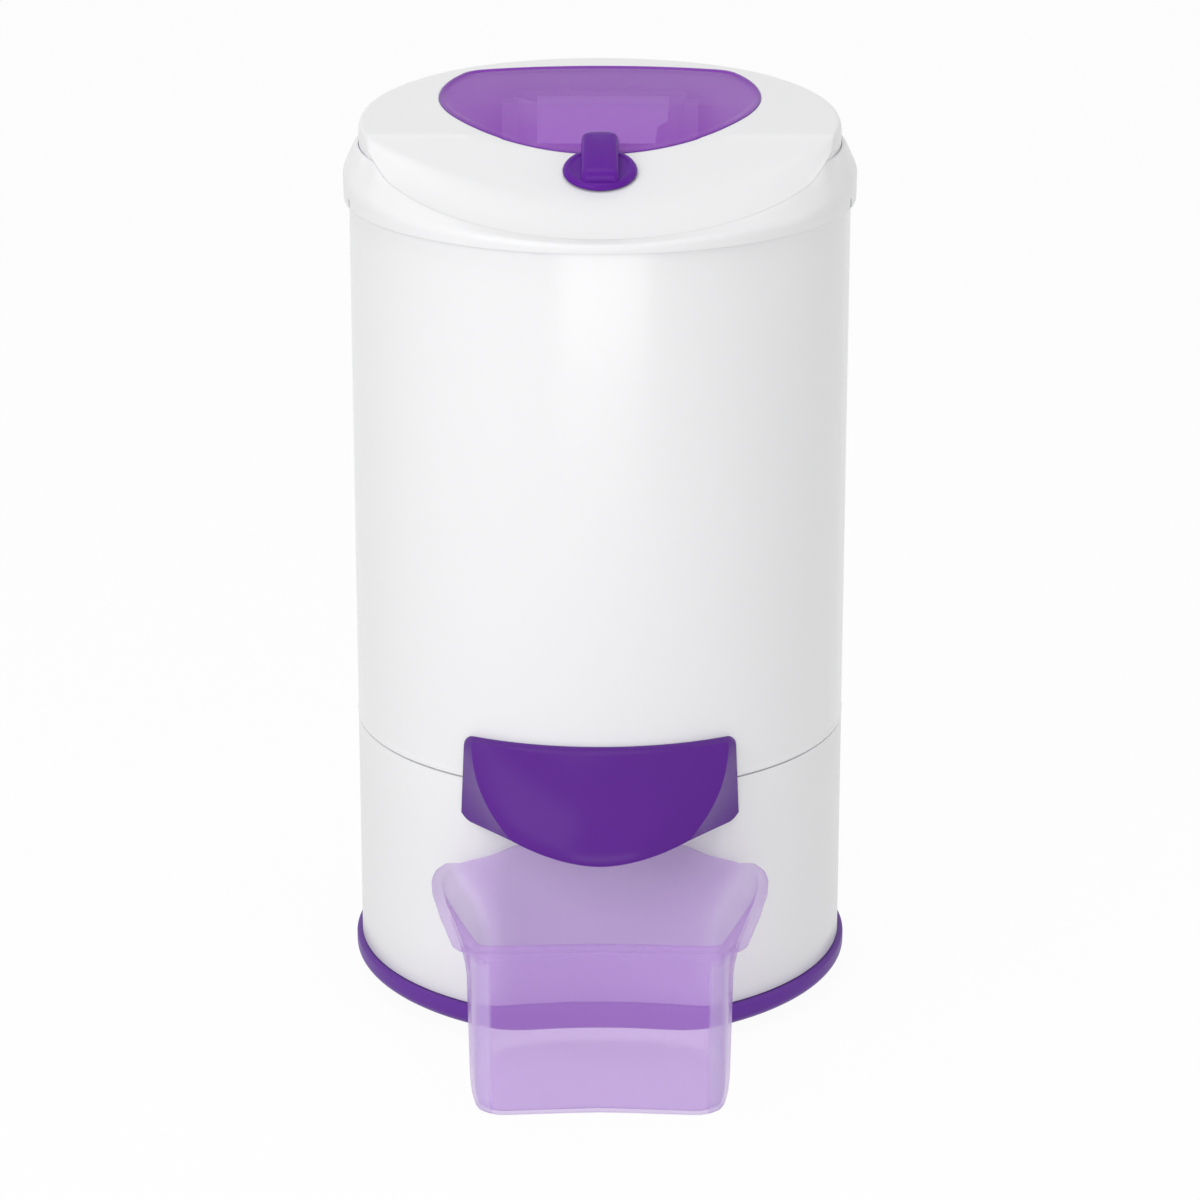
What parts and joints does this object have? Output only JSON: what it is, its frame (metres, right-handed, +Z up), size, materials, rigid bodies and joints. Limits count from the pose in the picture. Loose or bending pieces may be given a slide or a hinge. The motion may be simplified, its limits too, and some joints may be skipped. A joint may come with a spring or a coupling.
{
  "type": "laundry spin dryer",
  "caption": "Upright round laundry spin dryer with a hinged lid, a perforated drum in a fixed tub, a drum brake worked by the lid lock, and a water container.",
  "frame": {"origin": "centre of the footprint, on the floor that the dryer and its container stand on; the drum axis is 50.5 mm behind it", "axes": "+Z up along the drum axis, the front with the hood and the container at -Y, +X to the right seen from the front"},
  "size_m": [0.348, 0.4491, 0.624],
  "materials": {
    "white_paint": "semi-gloss",
    "white_plastic": "satin gloss",
    "purple_plastic": "satin",
    "deep_purple_plastic": "glossy",
    "window_plastic": "glossy translucent",
    "lilac_plastic": "satin translucent",
    "stainless_steel": "brushed",
    "steel": "machined",
    "zinc": "zinc plated",
    "rubber": "matte",
    "grey_plastic": "matte",
    "copper": "enamelled copper wire"
  },
  "bodies": {
    "casing": {"base_pan": "purple_plastic", "foot_pads": "rubber", "foot_screws": "zinc", "lower_shell": "white_plastic", "upper_shell": "white_paint", "seam_ring": "grey_plastic", "drain_hood": "deep_purple_plastic", "drain_outlet": "grey_plastic", "top_ring": "white_plastic", "ring_screws": "zinc", "hinge_pin": "steel", "latch_keeper": "steel", "switch_housing": "grey_plastic", "tub": "grey_plastic", "tub_cover": "grey_plastic", "tub_seal": "rubber", "shaft_seal": "rubber", "lower_bearing": "steel", "upper_bearing": "steel", "lower_cap": "zinc", "upper_cap": "zinc", "stator": "steel", "windings": "copper", "motor_plate": "zinc", "rubber_mounts": "rubber", "mount_bolts": "zinc", "brake_post": "zinc", "brake_spring": "steel", "brake_cable": "rubber", "capacitor": "white_plastic", "capacitor_clip": "zinc", "cord_gland": "rubber"},
    "spinner": {"drum": "stainless_steel", "drum_rim": "stainless_steel", "drum_hub": "zinc", "drum_shaft": "steel", "drum_nut": "stainless_steel", "rotor": "steel", "motor_fan": "grey_plastic", "brake_drum": "zinc"},
    "lid": {"lid_shell": "white_plastic", "lid_window": "window_plastic", "lid_liner": "white_plastic"},
    "lock": {"knob": "deep_purple_plastic", "latch_shaft": "zinc", "latch_tongue": "steel"},
    "plunger": {"switch_plunger": "rubber"},
    "brake": {"brake_lever": "zinc", "brake_pad": "rubber"},
    "water_container": {"container": "lilac_plastic"}
  },
  "joints": [
    {"name": "drum_spin", "type": "hinge", "parent": "casing", "child": "spinner", "pos_m": [0, 0.0505, 0.3], "axis": [0, 0, 1], "continuous": true},
    {"name": "lid_hinge", "type": "hinge", "parent": "casing", "child": "lid", "pos_m": [0, 0.2175, 0.6028], "axis": [-1, 0, 0], "range_deg": [0, 100]},
    {"name": "knob_turn", "type": "hinge", "parent": "lid", "child": "lock", "pos_m": [0, -0.0405, 0.59411], "axis": [0, 0.3173, -0.9483], "range_deg": [0, 90]},
    {"name": "switch_press", "type": "slide", "parent": "casing", "child": "plunger", "axis": [0, -1, 0], "range_m": [0, 0.0044]},
    {"name": "brake_release", "type": "hinge", "parent": "casing", "child": "brake", "pos_m": [0.05, 0.0925, 0.037], "axis": [0, 0, 1], "range_deg": [0, 6.1]},
    {"name": "container_pull", "type": "slide", "parent": "casing", "child": "water_container", "axis": [0, -1, 0], "range_m": [0, 0.16]}
  ],
  "couplings": [
    {"joint": "switch_press", "follows": "knob_turn", "m_per_rad": 0.0027375},
    {"joint": "brake_release", "follows": "knob_turn", "ratio": 0.066667}
  ]
}
